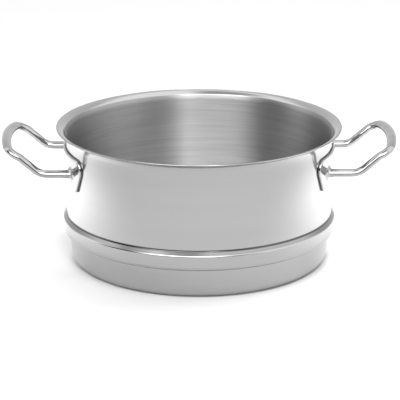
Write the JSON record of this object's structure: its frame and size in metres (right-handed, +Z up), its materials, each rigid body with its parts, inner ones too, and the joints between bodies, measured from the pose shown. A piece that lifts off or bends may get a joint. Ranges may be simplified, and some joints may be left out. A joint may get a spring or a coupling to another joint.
{
  "type": "soup kettle",
  "caption": "Open round stainless steel kettle with a flared rim, a rolled bead, a stepped foot and raised loop handles welded to curved saddle plates.",
  "frame": {"origin": "centre of the base, on the surface that the kettle stands on", "axes": "+Z up along the shell's axis, +X through both handles, +Y away from a user who faces it with a handle at each hand"},
  "size_m": [0.3562, 0.2584, 0.1233],
  "materials": {
    "polished_steel": "mirror polished outside, fine circumferential brushing inside",
    "weld_steel": "buffed weld metal"
  },
  "bodies": {
    "root": {"vessel_shell": "polished_steel", "handle_bar_left": "polished_steel", "handle_bar_right": "polished_steel", "saddle_plate_left": "polished_steel", "saddle_plate_right": "polished_steel", "handle_weld_fillets_left": "weld_steel", "handle_weld_fillets_right": "weld_steel", "plate_weld_nuggets_left": "weld_steel", "plate_weld_nuggets_right": "weld_steel"}
  },
  "joints": []
}
